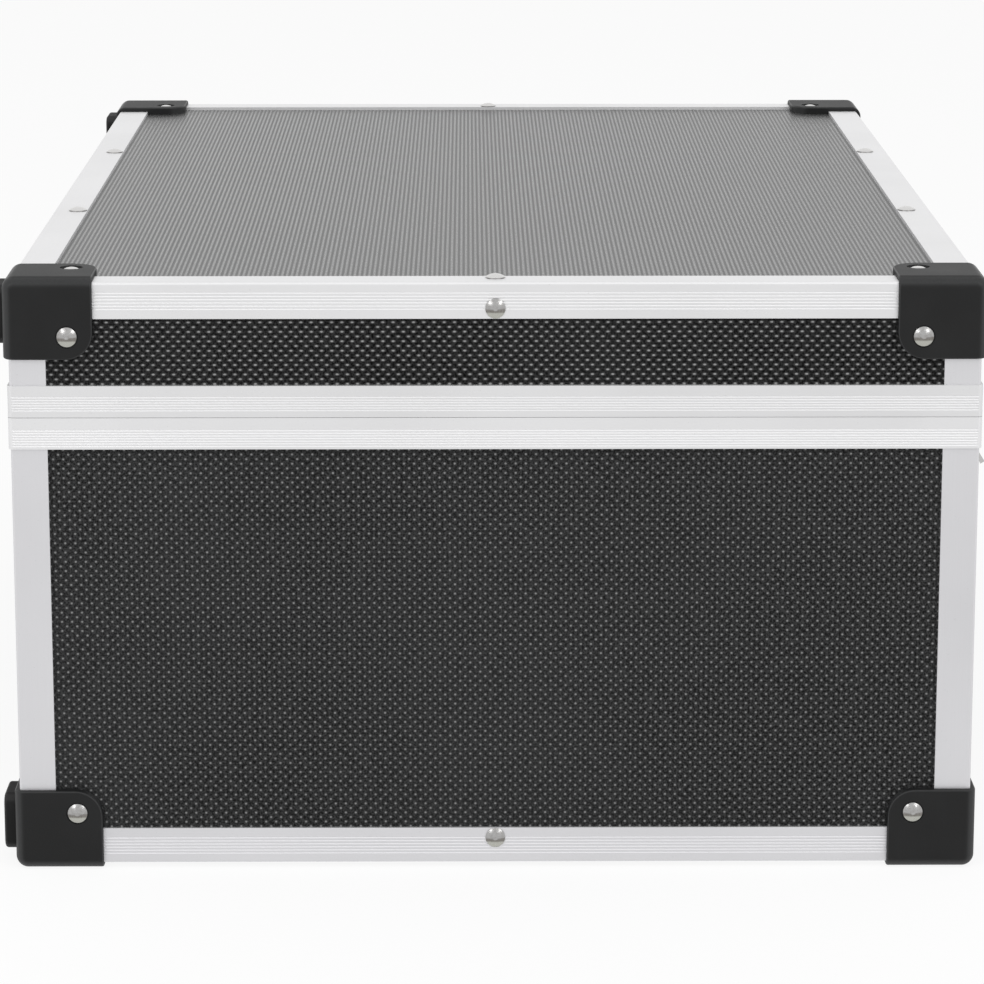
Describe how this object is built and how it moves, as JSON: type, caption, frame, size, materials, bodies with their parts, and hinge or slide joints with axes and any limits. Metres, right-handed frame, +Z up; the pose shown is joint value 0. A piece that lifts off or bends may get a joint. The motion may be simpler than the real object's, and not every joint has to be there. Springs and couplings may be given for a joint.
{
  "type": "cd storage case",
  "caption": "Rectangular disc storage case with an aluminium edge frame, black embossed panels, hinged lid, draw latches and a folding carry handle.",
  "frame": {"origin": "on the floor under the middle of the case", "axes": "+X along the length, the front with latches and handle faces -Y, the hinges face +Y, +Z up"},
  "size_m": [0.3918, 0.2775, 0.1661],
  "materials": {
    "frame": "satin natural anodised extrusion with fine grooves",
    "foam": "black soft foam sheet with a felt face",
    "panel": "black ABS skin embossed with rows of small dots, on board",
    "corner": "black moulded plastic, fine texture",
    "bumper": "black rubber",
    "rivet": "bright nickel plate",
    "divider": "black plastic sheet",
    "channel": "black extruded plastic",
    "bracket": "black moulded plastic",
    "grip": "black moulded plastic",
    "hinge": "nickel plated steel",
    "latch": "bright nickel plated steel"
  },
  "bodies": {
    "case": {"base_edge_back": "frame", "base_edge_front": "frame", "base_edge_left": "frame", "base_edge_right": "frame", "base_foam": "foam", "base_panel": "panel", "body_back_panel": "panel", "body_corner_back_left": "corner", "body_corner_back_right": "corner", "body_corner_front_left": "corner", "body_corner_front_right": "corner", "body_feet": "bumper", "body_front_panel": "panel", "body_left_panel": "panel", "body_right_panel": "panel", "body_rim_back": "frame", "body_rim_front": "frame", "body_rim_left": "frame", "body_rim_right": "frame", "body_rivets": "rivet", "body_uprights": "frame", "divider": "divider", "divider_channels": "channel", "handle_bracket_left": "bracket", "handle_bracket_right": "bracket", "handle_pins": "bracket", "hinge_leaves_body": "hinge", "hinge_pins": "hinge", "latch_pivots": "latch", "latch_plates": "latch"},
    "lid": {"hinge_leaves_lid": "hinge", "latch_keepers": "latch", "lid_back_panel": "panel", "lid_corner_back_left": "corner", "lid_corner_back_right": "corner", "lid_corner_front_left": "corner", "lid_corner_front_right": "corner", "lid_edge_back": "frame", "lid_edge_front": "frame", "lid_edge_left": "frame", "lid_edge_right": "frame", "lid_feet": "bumper", "lid_foam": "foam", "lid_front_panel": "panel", "lid_left_panel": "panel", "lid_right_panel": "panel", "lid_rim_back": "frame", "lid_rim_front": "frame", "lid_rim_left": "frame", "lid_rim_right": "frame", "lid_rivets": "rivet", "lid_top_panel": "panel", "lid_uprights": "frame"},
    "left_lever": {"latch_lever_left": "latch", "latch_link_pin_left": "latch"},
    "left_link": {"latch_link_left": "latch"},
    "right_lever": {"latch_lever_right": "latch", "latch_link_pin_right": "latch"},
    "right_link": {"latch_link_right": "latch"},
    "handle": {"handle_grip": "grip"}
  },
  "joints": [
    {"name": "lid_hinge", "type": "hinge", "parent": "case", "child": "lid", "pos_m": [0, 0.1343, 0.1275], "axis": [-1, 0, 0], "range_deg": [0, 95]},
    {"name": "left_lever_pivot", "type": "hinge", "parent": "case", "child": "left_lever", "pos_m": [-0.125, -0.1362, 0.1205], "axis": [-1, 0, 0], "range_deg": [0, 100]},
    {"name": "left_link_pivot", "type": "hinge", "parent": "left_lever", "child": "left_link", "pos_m": [-0.125, -0.1353, 0.1145], "axis": [-1, 0, 0], "range_deg": [-110, 0]},
    {"name": "right_lever_pivot", "type": "hinge", "parent": "case", "child": "right_lever", "pos_m": [0.125, -0.1362, 0.1205], "axis": [-1, 0, 0], "range_deg": [0, 100]},
    {"name": "right_link_pivot", "type": "hinge", "parent": "right_lever", "child": "right_link", "pos_m": [0.125, -0.1353, 0.1145], "axis": [-1, 0, 0], "range_deg": [-110, 0]},
    {"name": "handle_pivot", "type": "hinge", "parent": "case", "child": "handle", "pos_m": [0, -0.1365, 0.0885], "axis": [-1, 0, 0], "range_deg": [0, 100]}
  ],
  "couplings": [
    {"joint": "left_link_pivot", "follows": "left_lever_pivot", "ratio": -1.1},
    {"joint": "right_link_pivot", "follows": "right_lever_pivot", "ratio": -1.1}
  ]
}
